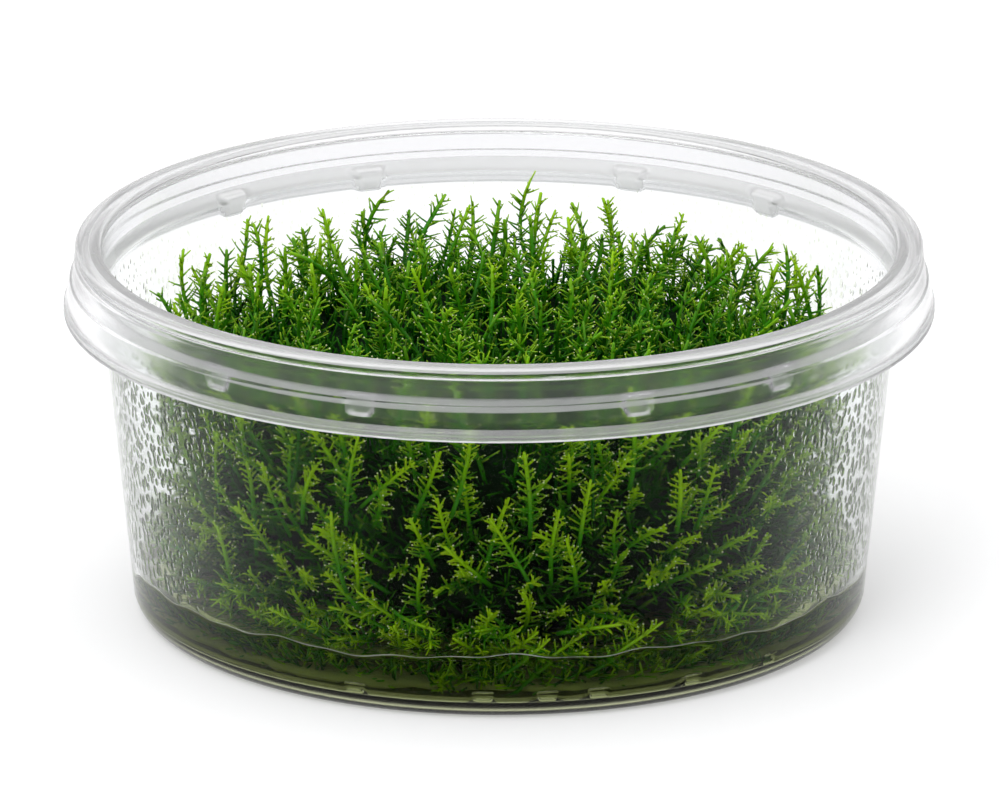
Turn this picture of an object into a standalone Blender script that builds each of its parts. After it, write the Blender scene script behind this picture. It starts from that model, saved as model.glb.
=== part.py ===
"""Moss clump grown on gel in a clear plastic culture cup.

Run with: blender --background --python part.py
Constants are in millimetres and mm() turns them into metres. +Z is up. The origin is at the
middle of the cup's foot, on the surface that the cup stands on.
"""

import math

import bmesh
import bpy
from mathutils import Matrix, Vector, noise

# Cup: one thin moulded shell with a rolled rim, a hanging skirt and a raised floor.
HEIGHT = 45.0
SHELL = 0.8
WALL_FOOT_R = 43.53
WALL_DRAFT = 0.1013
RIM_R = 50.36
SKIRT_R = 51.75
SKIRT_DROP = 8.3
LEDGE_DROP = 4.0
BEAD_R = 0.57
SHOULDER_TOP = 40.8
SHOULDER_DEPTH = 1.7
COLLAR_R = 48.0
HEEL_R = 2.7
FOOT_WIDTH = 2.2
FLOOR_UNDERSIDE = 1.0
FLOOR_TOP = 2.0
CORNER_R = 1.2
TURN_STEPS = 72

# Stacking lugs under the shoulder and vent pads round the floor, at angles from the front.
LUG_ANGLES = (20.0, 44.0, 136.0, 160.0)
LUG_TOP_WIDTH = 4.0
LUG_FOOT_WIDTH = 2.4
LUG_HEIGHT = 1.9
LUG_DEPTH = 1.5
PAD_ANGLES = (-23.0, -2.5, 7.5, 15.5, 31.5, 47.0)
PAD_WIDTH = 2.2
PAD_HEIGHT = 0.9
PAD_DEPTH = 1.2

# Gel and moss.
GAP = 0.3
GEL_TOP = 7.2
GEL_CORNER = 2.2
MOSS_R = 41.0
MOSS_TOP = 40.5
MOSS_SQUARENESS = 7.0
MOSS_LUMP = 0.7
MOSS_LUMP_SIZE = 9.0


def mm(value):
    return value * 0.001


def wall_r(z):
    """Outer radius of the tapered wall at height z."""
    return WALL_FOOT_R + WALL_DRAFT * z


def arc(centre_r, centre_z, radius, start, end, steps):
    """Points of an arc in the profile plane, from one angle to another in degrees."""
    angles = [math.radians(start + (end - start) * k / steps) for k in range(steps + 1)]
    return [(centre_r + radius * math.cos(a), centre_z + radius * math.sin(a)) for a in angles]


def inner_profile():
    """The inside of the cup, from the middle of the floor up to the rim."""
    corner_z = FLOOR_TOP + CORNER_R
    shoulder_z = SHOULDER_TOP - SHOULDER_DEPTH
    edge_r = COLLAR_R - SHELL + BEAD_R
    return [
        (0.0, FLOOR_TOP),
        *arc(wall_r(corner_z) - SHELL - CORNER_R, corner_z, CORNER_R, -90, 0, 2),
        (wall_r(shoulder_z) - SHELL, shoulder_z),
        (COLLAR_R - SHELL, SHOULDER_TOP),
        *arc(edge_r, HEIGHT - BEAD_R, BEAD_R, 180, 90, 2),
    ]


def rim_profile():
    """The bead and the skirt, over the top, down the outside and up again to the rim's underside."""
    ledge_z = HEIGHT - LEDGE_DROP
    foot_z = HEIGHT - SKIRT_DROP
    underside = HEIGHT - 2 * BEAD_R
    skirt_top_r = RIM_R + 0.1
    ledge_r = RIM_R + 0.4
    return [
        *arc(RIM_R - BEAD_R, HEIGHT - BEAD_R, BEAD_R, 90, -45, 3),
        (skirt_top_r, underside - 0.9),
        (ledge_r, ledge_z),
        (SKIRT_R - 0.15, foot_z + 1.6),
        (SKIRT_R, foot_z + 1.3),
        (SKIRT_R, foot_z),
        (SKIRT_R - 0.95, foot_z),
        (SKIRT_R - 0.9, foot_z + 1.5),
        (ledge_r - 0.75, ledge_z - 0.2),
        (skirt_top_r - 0.75, underside - 0.9),
        (skirt_top_r - 1.15, underside),
        (COLLAR_R + 0.5, underside),
    ]


def outer_profile():
    """The outside of the wall, from under the rim down to the foot and in under the floor."""
    shoulder_z = SHOULDER_TOP - SHOULDER_DEPTH
    heel_r = wall_r(HEEL_R) - HEEL_R
    return [
        (COLLAR_R, HEIGHT - 2 * BEAD_R - 0.5),
        (COLLAR_R, SHOULDER_TOP),
        (wall_r(shoulder_z), shoulder_z),
        *arc(heel_r, HEEL_R, HEEL_R, 0, -90, 4),
        (heel_r - FOOT_WIDTH, 0.0),
        (heel_r - FOOT_WIDTH - 0.6, FLOOR_UNDERSIDE),
        (0.0, FLOOR_UNDERSIDE),
    ]


def gel_profile():
    """The gel's top surface and its side, which follows the wall and clears the vent pads."""
    side_foot = FLOOR_TOP + GEL_CORNER
    side_r = wall_r(side_foot) - SHELL - GAP
    return [
        (0.0, GEL_TOP),
        (wall_r(GEL_TOP) - SHELL - GAP, GEL_TOP),
        (side_r, side_foot),
        (side_r - GEL_CORNER, FLOOR_TOP + GAP),
        (0.0, FLOOR_TOP + GAP),
    ]


def material(name, colour, roughness, transmission=0.0, ior=1.45):
    made = bpy.data.materials.new(name)
    made.use_nodes = True
    shader = made.node_tree.nodes["Principled BSDF"]
    shader.inputs["Base Color"].default_value = (*colour, 1.0)
    shader.inputs["Roughness"].default_value = roughness
    shader.inputs["Metallic"].default_value = 0.0
    shader.inputs["Transmission Weight"].default_value = transmission
    shader.inputs["IOR"].default_value = ior
    return made


def mesh_object(name, bm, collection):
    mesh = bpy.data.meshes.new(name)
    bm.to_mesh(mesh)
    bm.free()
    obj = bpy.data.objects.new(name, mesh)
    collection.objects.link(obj)
    return obj


def smooth(obj):
    """Shades an object's mesh smooth, with its corners kept sharp."""
    obj.data.shade_smooth()
    obj.data.set_sharp_from_angle(angle=math.radians(35))


def turned(name, profile, collection):
    """A profile in the XZ plane, turned once round the Z axis by a Screw modifier."""
    bm = bmesh.new()
    verts = [bm.verts.new((mm(r), 0.0, mm(z))) for r, z in profile]
    for first, second in zip(verts, verts[1:]):
        bm.edges.new((first, second))
    obj = mesh_object(name, bm, collection)
    screw = obj.modifiers.new("Turn", "SCREW")
    screw.axis = "Z"
    screw.steps = TURN_STEPS
    screw.render_steps = TURN_STEPS
    screw.use_merge_vertices = True
    screw.merge_threshold = 0.00001
    screw.use_smooth_shade = True
    return obj


def block(bm, angle, radius, z, depth, height, foot_width, top_width):
    """A block that tapers in width, standing against the wall at an angle from the front."""
    corners = bmesh.ops.create_cube(bm, size=1.0)["verts"]
    for vert in corners:
        width = top_width if vert.co.z > 0 else foot_width
        vert.co = Vector((vert.co.x * mm(width), vert.co.y * mm(depth), vert.co.z * mm(height)))
    turn = Matrix.Rotation(math.radians(angle), 4, "Z")
    place = turn @ Matrix.Translation((0.0, mm(-radius), mm(z)))
    bmesh.ops.transform(bm, matrix=place, verts=corners)


def lugs_and_pads(collection):
    """Every stacking lug and vent pad, each sunk halfway into the shell that it belongs to."""
    bm = bmesh.new()
    lug_z = SHOULDER_TOP - 0.8 - LUG_HEIGHT / 2
    for angle in LUG_ANGLES:
        for side in (-1, 1):
            lug_r = wall_r(lug_z) - SHELL
            block(bm, side * angle, lug_r, lug_z, LUG_DEPTH, LUG_HEIGHT, LUG_FOOT_WIDTH, LUG_TOP_WIDTH)
    pad_r = wall_r(FLOOR_TOP) - SHELL - CORNER_R / 2
    pad_z = FLOOR_TOP + PAD_HEIGHT / 4
    for half_turn in (0.0, 180.0):
        for angle in PAD_ANGLES:
            block(bm, angle + half_turn, pad_r, pad_z, PAD_DEPTH, PAD_HEIGHT, PAD_WIDTH, PAD_WIDTH - 0.5)
    obj = mesh_object("lugs_and_pads", bm, collection)
    obj.hide_render = True
    obj.display_type = "WIRE"
    return obj


def build_cup(parts, helpers):
    cup = turned("cup", inner_profile() + rim_profile() + outer_profile(), parts)
    union = cup.modifiers.new("Lugs", "BOOLEAN")
    union.operation = "UNION"
    union.solver = "EXACT"
    union.object = lugs_and_pads(helpers)
    cup.data.materials.append(material("clear_polypropylene", (0.93, 0.94, 0.94), 0.06, 1.0, 1.49))


def build_gel(parts):
    gel = turned("culture_gel", gel_profile(), parts)
    gel.data.materials.append(material("nutrient_gel", (0.86, 0.88, 0.82), 0.03, 1.0, 1.335))


def build_moss(parts):
    """The clump's outer form, out to the shoots' tips: a drum with rounded edges and soft lumps."""
    bottom = GEL_TOP + GAP
    middle = Vector((0.0, 0.0, (bottom + MOSS_TOP) / 2))
    half = Vector((MOSS_R, MOSS_R, (MOSS_TOP - bottom) / 2))
    bm = bmesh.new()
    bmesh.ops.create_icosphere(bm, subdivisions=4, radius=1.0)
    for vert in bm.verts:
        way = vert.co.normalized()
        flat = math.hypot(way.x, way.y)
        reach = (flat**MOSS_SQUARENESS + abs(way.z) ** MOSS_SQUARENESS) ** (-1 / MOSS_SQUARENESS)
        place = middle + way * reach * half
        lump = noise.noise(place / MOSS_LUMP_SIZE)
        inward = MOSS_LUMP * (1 + lump) / 2
        vert.co = (place - way * inward) * mm(1)
    moss = mesh_object("moss_clump", bm, parts)
    smooth(moss)
    moss.data.materials.append(material("green_moss", (0.09, 0.22, 0.02), 0.7))


def main():
    for obj in list(bpy.data.objects):
        bpy.data.objects.remove(obj, do_unlink=True)
    parts = bpy.data.collections.new("moss_culture_cup")
    helpers = bpy.data.collections.new("cutters")
    for collection in (parts, helpers):
        bpy.context.scene.collection.children.link(collection)
    build_cup(parts, helpers)
    build_gel(parts)
    build_moss(parts)


main()
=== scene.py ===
"""Looks of the moss culture cup: clear cup, gel, moss shoots, condensation and a studio.

Lengths inside the mesh code are in millimetres unless a name says otherwise, and MM turns
them into the scene's metres. Angles round the cup are counted from the front, which is -Y.
"""

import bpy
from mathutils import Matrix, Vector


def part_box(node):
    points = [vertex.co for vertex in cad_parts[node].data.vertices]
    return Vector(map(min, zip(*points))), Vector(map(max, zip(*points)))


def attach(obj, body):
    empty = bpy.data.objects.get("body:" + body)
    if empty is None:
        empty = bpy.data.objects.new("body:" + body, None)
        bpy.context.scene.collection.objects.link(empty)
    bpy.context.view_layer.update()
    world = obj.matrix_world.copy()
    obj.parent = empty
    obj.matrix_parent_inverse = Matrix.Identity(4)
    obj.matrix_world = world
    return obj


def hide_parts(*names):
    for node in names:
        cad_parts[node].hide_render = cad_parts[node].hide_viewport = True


bl_info = {
    "name": "Moss Culture Cup",
    "version": (1, 0, 0),
    "blender": (4, 5, 0),
    "location": "3D View > Sidebar > Moss Cup",
    "description": "Builds a clump of moss growing on gel in a clear plastic culture cup",
    "category": "Object",
}

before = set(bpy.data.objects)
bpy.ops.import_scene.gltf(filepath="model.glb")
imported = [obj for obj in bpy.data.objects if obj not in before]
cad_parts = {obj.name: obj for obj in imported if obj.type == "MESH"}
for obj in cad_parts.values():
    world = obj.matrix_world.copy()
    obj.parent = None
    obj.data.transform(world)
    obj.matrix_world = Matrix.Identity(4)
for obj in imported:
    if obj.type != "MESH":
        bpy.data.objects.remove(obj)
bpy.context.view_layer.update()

import math

import bpy
import numpy as np
from bpy.props import FloatProperty, FloatVectorProperty, IntProperty, PointerProperty
from mathutils import Vector

MM = 0.001
CUP_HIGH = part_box("cup")[1] / MM
MOSS_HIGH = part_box("moss_clump")[1] / MM
FULL_TURN = 2 * math.pi
GOLDEN_ANGLE = math.pi * (3 - math.sqrt(5))
MOSS_SEED = 7
DEW_SEED = 41


def linear(code):
    """An sRGB hex colour as linear red, green and blue."""
    values = [int(code[k:k + 2], 16) / 255 for k in (0, 2, 4)]
    return tuple(v / 12.92 if v <= 0.04045 else ((v + 0.055) / 1.055) ** 2.4 for v in values)


# ---------------------------------------------------------------- settings


class CupSettings(bpy.types.PropertyGroup):
    """Sizes and tints of the moulded cup"""

    shell: FloatProperty(
        name="Shell", description="Thickness of the moulded wall",
        default=0.8 * MM, unit="LENGTH", subtype="DISTANCE")
    lug_depth: FloatProperty(
        name="Lug depth", description="How far a stacking lug stands out of the wall",
        default=0.75 * MM, unit="LENGTH", subtype="DISTANCE")
    pad_depth: FloatProperty(
        name="Pad depth", description="How far a vent pad stands out of the floor's corner",
        default=0.3 * MM, unit="LENGTH", subtype="DISTANCE")
    tint: FloatVectorProperty(
        name="Tint", description="Colour that the clear plastic lets through",
        default=linear("F7F9F9"), size=3, subtype="COLOR", min=0.0, max=1.0)
    thick_tint: FloatVectorProperty(
        name="Rim tint", description="Colour that the thicker plastic of the rim lets through",
        default=linear("F8F8F9"), size=3, subtype="COLOR", min=0.0, max=1.0)
    # This tint is painted shade, not a smear of gel: it darkens the foot towards olive where the clump's
    # shadow lies under the cup.
    foot_shade_tint: FloatVectorProperty(
        name="Foot tint", description="Colour that the gel-smeared plastic of the foot lets through",
        default=linear("BEC29F"), size=3, subtype="COLOR", min=0.0, max=1.0)


class GelSettings(bpy.types.PropertyGroup):
    """Levels and tint of the gel"""

    level_front: FloatProperty(
        name="Level in front", description="Height of the gel's edge at the front and back",
        default=7.7 * MM, unit="LENGTH", subtype="DISTANCE")
    level_side: FloatProperty(
        name="Level at the sides", description="Height of the gel's edge at the left and right",
        default=5.4 * MM, unit="LENGTH", subtype="DISTANCE")
    tint: FloatVectorProperty(
        name="Tint", description="Colour that the gel lets through",
        default=linear("CBD3AC"), size=3, subtype="COLOR", min=0.0, max=1.0)


class MossSettings(bpy.types.PropertyGroup):
    """How many shoots and leaves the clump has, and their colours"""

    crown_shoots: IntProperty(
        name="Crown shoots", description="Shoots on the top of the clump", default=205, min=1)
    flank_shoots: IntProperty(
        name="Flank shoots", description="Shoots round the side of the clump", default=320, min=1)
    shaded_shoots: IntProperty(
        name="Shaded shoots", description="Dim shoots under the outer ones", default=630, min=9)
    inner_leaves: IntProperty(
        name="Inner leaves", description="Dull leaves on the old growth", default=8000, min=1)
    sunken_shoots: IntProperty(
        name="Sunken shoots", description="Shoots at the clump's foot, in the gel", default=300, min=1)
    leaf_length: FloatProperty(
        name="Leaf length", description="Length of a needle leaf halfway up a shoot",
        default=1.85 * MM, unit="LENGTH", subtype="DISTANCE")
    young: FloatVectorProperty(
        name="Young growth", description="Colour of the newest leaves",
        default=linear("8FC30A"), size=3, subtype="COLOR", min=0.0, max=1.0)
    old: FloatVectorProperty(
        name="Old growth", description="Colour of the shaded stems at the bottom",
        default=linear("031A02"), size=3, subtype="COLOR", min=0.0, max=1.0)


class DewSettings(bpy.types.PropertyGroup):
    """Spacing and size of the condensation drops"""

    spacing: FloatProperty(
        name="Spacing", description="Distance from one drop to the next along the wall",
        default=1.25 * MM, unit="LENGTH", subtype="DISTANCE")
    width: FloatProperty(
        name="Width", description="Width of a full-size drop",
        default=0.85 * MM, unit="LENGTH", subtype="DISTANCE")


class StageSettings(bpy.types.PropertyGroup):
    """Floor, lights and camera"""

    floor: FloatVectorProperty(
        name="Floor", description="Colour of the floor",
        default=linear("D9D9DA"), size=3, subtype="COLOR", min=0.0, max=1.0)
    glow: FloatProperty(
        name="Glow", description="Light that the floor gives from below", default=0.36)
    camera_tilt: FloatProperty(
        name="Camera tilt", description="How far the camera looks down",
        default=math.radians(18.2), unit="ROTATION", subtype="ANGLE")
    camera_distance: FloatProperty(
        name="Camera distance", description="Distance from the camera to the cup's middle",
        default=1.43, unit="LENGTH", subtype="DISTANCE")
    lens: FloatProperty(
        name="Lens", description="Focal length of the camera, in millimetres", default=432.0)
    sky: FloatProperty(name="Sky", description="Brightness of the surrounding light", default=0.92)
    softbox: FloatProperty(
        name="Softbox", description="Power of the overhead softbox, in watts", default=2.6, unit="POWER")
    key: FloatProperty(
        name="Key light", description="Power of the softbox in front, in watts",
        default=5.5, unit="POWER")


# ---------------------------------------------------------------- meshes


def build_mesh(name, points, polygons, floats=None):
    """A mesh from points in millimetres and several arrays of faces, each of one face size."""
    mesh = bpy.data.meshes.new(name)
    mesh.vertices.add(len(points))
    mesh.vertices.foreach_set("co", (np.asarray(points) * MM).astype(np.float32).ravel())
    loops = np.concatenate([faces.ravel() for faces in polygons]).astype(np.int32)
    sizes = np.concatenate([np.full(len(faces), faces.shape[1]) for faces in polygons])
    starts = np.concatenate([[0], np.cumsum(sizes)[:-1]]).astype(np.int32)
    mesh.loops.add(len(loops))
    mesh.loops.foreach_set("vertex_index", loops)
    mesh.polygons.add(len(sizes))
    mesh.polygons.foreach_set("loop_start", starts)
    for label, values in (floats or {}).items():
        layer = mesh.attributes.new(label, "FLOAT", "POINT")
        layer.data.foreach_set("value", np.asarray(values, np.float32))
    mesh.update(calc_edges=True)
    mesh.validate()
    mesh.shade_smooth()
    return mesh


def add_piece(name, mesh, material, slot, *nodes):
    """Shows a mesh as a piece of the object, in place of the CAD nodes named."""
    piece = bpy.data.objects.new(name, mesh)
    bpy.context.scene.collection.objects.link(piece)
    mesh.materials.append(material)
    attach(piece, "root")
    if nodes:
        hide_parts(*nodes)


def arc(centre_r, centre_z, radius, start, end, steps):
    """Points of an arc in the profile plane, from one angle to another in degrees."""
    turn = np.radians(np.linspace(start, end, steps + 1))
    return np.stack([centre_r + radius * np.cos(turn), centre_z + radius * np.sin(turn)], axis=1)


def straight(start, end, steps):
    """Points from start up to, and not including, end."""
    share = np.linspace(0, 1, steps, endpoint=False)[:, None]
    return np.array(start) * (1 - share) + np.array(end) * share


def smoothstep(low, high, value):
    """A smooth rise from 0 at low to 1 at high, or a fall where high is the smaller."""
    share = np.clip((value - low) / (high - low), 0, 1)
    return share * share * (3 - 2 * share)


def lathe(points):
    """Points and faces of a turned form from an array of rows, columns and coordinates.

    The first and last rows are shrunk to single points on the axis.
    """
    rows, columns = points.shape[:2]
    inner = points[1:-1].reshape(-1, 3)
    poles = np.stack([points[0].mean(axis=0), points[-1].mean(axis=0)])
    cell = np.arange((rows - 2) * columns).reshape(rows - 2, columns)
    after = np.roll(cell, -1, axis=1)
    quads = np.stack([cell[:-1], cell[1:], after[1:], after[:-1]], axis=-1).reshape(-1, 4)
    first, last = len(inner), len(inner) + 1
    opening = np.stack([np.full(columns, first), cell[0], after[0]], axis=-1)
    closing = np.stack([cell[-1], np.full(columns, last), after[-1]], axis=-1)
    return np.concatenate([inner, poles]), [quads, opening, closing]


def stacked_rings(count, rings, sides):
    """Faces of many closed tubes, each of whose points are its rings and then its one tip."""
    offset = (np.arange(count) * (rings * sides + 1))[:, None]
    cell = np.arange(rings * sides).reshape(rings, sides)
    after = np.roll(cell, -1, axis=1)
    quads = np.stack([cell[:-1], after[:-1], after[1:], cell[1:]], axis=-1).reshape(-1)
    caps = np.stack([cell[-1], after[-1], np.full(sides, rings * sides)], axis=-1).reshape(-1)
    return [
        (offset + quads).reshape(-1, 4),
        (offset + caps).reshape(-1, 3),
        (offset + cell[0, ::-1]).reshape(-1, sides),
    ]


def around_axis(angle, radius, height):
    """Points or directions from an angle round the cup, a radius and a height."""
    return np.stack([radius * np.sin(angle), -radius * np.cos(angle), height], axis=-1)


# ---------------------------------------------------------------- cup form

HEIGHT = CUP_HIGH.z
SKIRT_R = CUP_HIGH.x
RIM_R = SKIRT_R - 1.39
BEAD_R = 0.57
SKIRT_FOOT = HEIGHT - 8.3
LEDGE = HEIGHT - 4.0
SHOULDER_TOP = HEIGHT - 4.2
SHOULDER_FOOT = SHOULDER_TOP - 1.7
COLLAR_R = SKIRT_R - 3.75
WALL_FOOT_R = SKIRT_R - 8.22
WALL_DRAFT = 0.1013
HEEL_R = 2.7
FOOT_WIDTH = 2.2
FLOOR_UNDERSIDE = 1.0
FLOOR_TOP = 2.0
CORNER_R = 1.2
LUG_ANGLES = (20.0, 44.0, 136.0, 160.0)
LUG_FOOT = SHOULDER_FOOT - 1.05
LUG_TOP = SHOULDER_TOP - 0.6
LUG_TOP_WIDTH = 4.0
LUG_FOOT_WIDTH = 2.4
PAD_ANGLES = (-23.0, -2.5, 7.5, 15.5, 31.5, 47.0)
PAD_WIDTH = 2.1
EDGE = 0.28
# Below this height the foot gets its own darker, olive finish: painted shade.
PAINTED_SHADE_TOP = 3.3


def wall_r(z):
    """Outer radius of the tapered wall at height z."""
    return WALL_FOOT_R + WALL_DRAFT * z


def inside_points(shell):
    """The cup's inside, from the floor's middle up to the rim, with close rows at the lugs."""
    corner_z = FLOOR_TOP + CORNER_R
    corner_r = wall_r(corner_z) - shell - CORNER_R
    wall_low = (wall_r(corner_z) - shell, corner_z)
    lug_low = (wall_r(LUG_FOOT - 0.6) - shell, LUG_FOOT - 0.6)
    shoulder = (wall_r(SHOULDER_FOOT) - shell, SHOULDER_FOOT)
    collar = (COLLAR_R - shell, SHOULDER_TOP)
    return np.concatenate([
        straight((0.0, FLOOR_TOP), (corner_r - 1.0, FLOOR_TOP), 4),
        straight((corner_r - 1.0, FLOOR_TOP), (corner_r, FLOOR_TOP), 5),
        arc(corner_r, corner_z, CORNER_R, -90, 0, 7)[:-1],
        straight(wall_low, (wall_r(corner_z + 0.6) - shell, corner_z + 0.6), 3),
        straight((wall_r(corner_z + 0.6) - shell, corner_z + 0.6), lug_low, 5),
        straight(lug_low, shoulder, 6),
        straight(shoulder, collar, 7),
        straight(collar, (COLLAR_R - shell, HEIGHT - BEAD_R), 3),
        arc(COLLAR_R - shell + BEAD_R, HEIGHT - BEAD_R, BEAD_R, 180, 90, 5),
    ])


def rim_points():
    """The bead, the skirt with its ledge and lip, and the rim's underside."""
    underside = HEIGHT - 2 * BEAD_R
    top_r = RIM_R + 0.08
    ledge_r = RIM_R + 0.38
    lip = 0.3
    return np.concatenate([
        [(COLLAR_R + 0.55, HEIGHT)],
        [(COLLAR_R + 0.65, HEIGHT - 0.09)],
        [(COLLAR_R + 0.8, HEIGHT - 0.09)],
        [(COLLAR_R + 0.9, HEIGHT)],
        arc(RIM_R - BEAD_R, HEIGHT - BEAD_R, BEAD_R, 90, -40, 7),
        [(RIM_R - 0.18, underside - 0.12)],
        [(top_r - 0.05, underside - 0.45)],
        [(top_r, underside - 0.75)],
        straight((top_r, underside - 0.9), (ledge_r, LEDGE + 0.12), 3),
        [(ledge_r, LEDGE + 0.12)],
        [(ledge_r + 0.05, LEDGE)],
        [(ledge_r + 0.22, LEDGE - 0.1)],
        straight((ledge_r + 0.3, LEDGE - 0.3), (SKIRT_R - 0.25, SKIRT_FOOT + 1.75), 2),
        [(SKIRT_R - 0.22, SKIRT_FOOT + 1.6)],
        arc(SKIRT_R - lip, SKIRT_FOOT + 1.3 - lip, lip, 60, 0, 2),
        [(SKIRT_R, SKIRT_FOOT + 0.85)],
        [(SKIRT_R - 0.14, SKIRT_FOOT + 0.72)],
        [(SKIRT_R - 0.14, SKIRT_FOOT + 0.62)],
        [(SKIRT_R, SKIRT_FOOT + 0.5)],
        arc(SKIRT_R - lip, SKIRT_FOOT + lip, lip, 0, -90, 4),
        arc(SKIRT_R - 0.95 + lip, SKIRT_FOOT + lip, lip, -90, -180, 4),
        straight((SKIRT_R - 0.9, SKIRT_FOOT + 1.4), (ledge_r - 0.55, LEDGE - 0.45), 3),
        [(ledge_r - 0.62, LEDGE - 0.3)],
        straight((ledge_r - 0.72, LEDGE - 0.1), (top_r - 0.72, underside - 0.8), 3),
        arc(top_r - 0.72 - 0.6, underside - 0.6, 0.6, 0, 90, 5),
        arc(COLLAR_R + 0.5, underside - 0.5, 0.5, 90, 180, 5),
    ])


def outside_points():
    """The wall's outside from under the rim, the heel, the foot ring and the raised underside."""
    heel_centre = wall_r(HEEL_R) - HEEL_R
    ring_r = heel_centre - FOOT_WIDTH
    return np.concatenate([
        straight((COLLAR_R, HEIGHT - 2 * BEAD_R - 0.7), (COLLAR_R, SHOULDER_TOP), 3),
        straight((COLLAR_R, SHOULDER_TOP), (wall_r(SHOULDER_FOOT), SHOULDER_FOOT), 5),
        straight((wall_r(SHOULDER_FOOT), SHOULDER_FOOT), (wall_r(HEEL_R), HEEL_R), 6),
        arc(heel_centre, HEEL_R, HEEL_R, 0, -90, 9),
        [(heel_centre - 0.1, 0.0)],
        [(ring_r + 0.2, 0.0)],
        arc(ring_r + 0.2, 0.2, 0.2, -90, -150, 2),
        straight((ring_r - 0.1, 0.3), (ring_r - 0.5, FLOOR_UNDERSIDE - 0.15), 2),
        [(ring_r - 0.6, FLOOR_UNDERSIDE)],
        [(ring_r - 1.0, FLOOR_UNDERSIDE)],
        straight((ring_r - 2.0, FLOOR_UNDERSIDE), (0.0, FLOOR_UNDERSIDE), 3),
        [(0.0, FLOOR_UNDERSIDE)],
    ])


def feature_angles():
    """Angles of every lug and every vent pad round the cup, in radians."""
    lugs = [side * angle for angle in LUG_ANGLES for side in (-1, 1)]
    pads = [angle + half for angle in PAD_ANGLES for half in (0, 180)]
    return np.radians(lugs), np.radians(pads)


def cup_columns():
    """Angles of the mesh's columns: even all round, and close together at lugs and pads."""
    lugs, pads = feature_angles()
    lug_half = (LUG_TOP_WIDTH / 2 + EDGE) / COLLAR_R
    pad_half = (PAD_WIDTH / 2 + EDGE) / WALL_FOOT_R
    close = [lug + np.linspace(-lug_half, lug_half, 12) for lug in lugs]
    close += [pad + np.linspace(-pad_half, pad_half, 9) for pad in pads]
    even = np.linspace(-math.pi, math.pi, 120, endpoint=False)
    angles = np.concatenate([even, *close])
    angles = np.sort(np.mod(angles + math.pi, FULL_TURN) - math.pi)
    apart = np.diff(angles, append=angles[0] + FULL_TURN) > 0.2 / COLLAR_R
    return angles[apart]


def across(angles, centres, radius, half_width):
    """1 within half_width of any centre, measured along the wall, falling to 0 over EDGE."""
    gap = np.abs(np.mod(angles[..., None] - centres + math.pi, FULL_TURN) - math.pi) * radius
    return smoothstep(EDGE, 0.0, gap.min(axis=-1) - half_width)


def dew_cover(angles, heights):
    """How thickly the inside of the wall is fogged, 0 to 1: most at the left and right."""
    sideways, behind = np.abs(np.sin(angles)), np.cos(angles) < 0
    reach = 0.2 * smoothstep(20.0, 36.0, heights)
    ahead = smoothstep(0.7 - reach, 0.88 - 0.8 * reach, sideways)
    return np.where(behind, smoothstep(0.25, 0.6, sideways), ahead)


def cup_mesh(shell, lug_depth, pad_depth):
    """The whole cup as one turned mesh, with its lugs and pads pushed out of the inside."""
    inner = inside_points(shell)
    profile = np.concatenate([inner, rim_points(), outside_points()])
    inside = (np.arange(len(profile)) < len(inner))[:, None]
    angles = cup_columns()[None, :]
    radii = profile[:, :1] + 0 * angles
    heights = profile[:, 1:] + 0 * angles
    lugs, pads = feature_angles()
    up = smoothstep(LUG_FOOT - EDGE, LUG_FOOT, heights) * smoothstep(LUG_TOP + EDGE, LUG_TOP, heights)
    share = np.clip((heights - LUG_FOOT) / (LUG_TOP - LUG_FOOT), 0, 1)
    half_width = (LUG_FOOT_WIDTH * (1 - share) + LUG_TOP_WIDTH * share) / 2
    face_r = wall_r(LUG_FOOT) - shell - lug_depth
    lug = inside * up * across(angles, lugs, COLLAR_R, half_width)
    radii = radii - lug * np.maximum(radii - face_r, 0)
    corner_r, corner_z = wall_r(FLOOR_TOP) - shell - CORNER_R, FLOOR_TOP + CORNER_R
    low = smoothstep(corner_z + 0.3, corner_z, heights)
    near = smoothstep(corner_r - 0.7, corner_r - 0.4, radii)
    pad = inside * low * near * across(angles, pads, WALL_FOOT_R, PAD_WIDTH / 2)
    lean = math.sqrt(0.5) * pad_depth
    points, faces = lathe(around_axis(angles, radii - lean * pad, heights + lean * pad))
    wet = inside & (heights > corner_z + 1) & (heights < SHOULDER_FOOT + 0.2)
    fog = wet * np.maximum(dew_cover(angles, heights), smoothstep(32.0, 37.0, heights))
    mesh = build_mesh("cup_shell", points, faces, {"fog": np.append(fog[1:-1].ravel(), [0, 0])})
    mesh.polygons.foreach_set("material_index", cup_finishes(mesh, shell))
    return mesh


def cup_finishes(mesh, shell):
    """Each face's place in the list of finishes: 0 wall, 1 rim, 2 satin, 3 matt, 4 foot with painted
    shade.
    """
    centres = np.zeros(len(mesh.polygons) * 3, np.float32)
    mesh.polygons.foreach_get("center", centres)
    centres = centres.reshape(-1, 3) / MM
    radius, height = np.hypot(centres[:, 0], centres[:, 1]), centres[:, 2]
    rim = (height > LUG_FOOT - 0.4) | (radius > COLLAR_R + 0.5)
    shoulder = (height > SHOULDER_FOOT) & (height < SHOULDER_TOP + 0.1) & (radius < COLLAR_R + 0.1)
    lug = (height > LUG_FOOT - 0.2) & (height < LUG_TOP + 0.3) & (radius < wall_r(height) - shell - 0.1)
    satin = shoulder | lug | (height > HEIGHT - 0.35)
    lip = (radius > COLLAR_R + 2) & (height < SKIRT_FOOT + 1.7)
    kinds = np.select([height < PAINTED_SHADE_TOP, lip, satin, rim], [4, 3, 2, 1], 0)
    return kinds.astype(np.int32)


# ---------------------------------------------------------------- gel form

MENISCUS = 0.7
GEL_SUNK = 0.04


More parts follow.
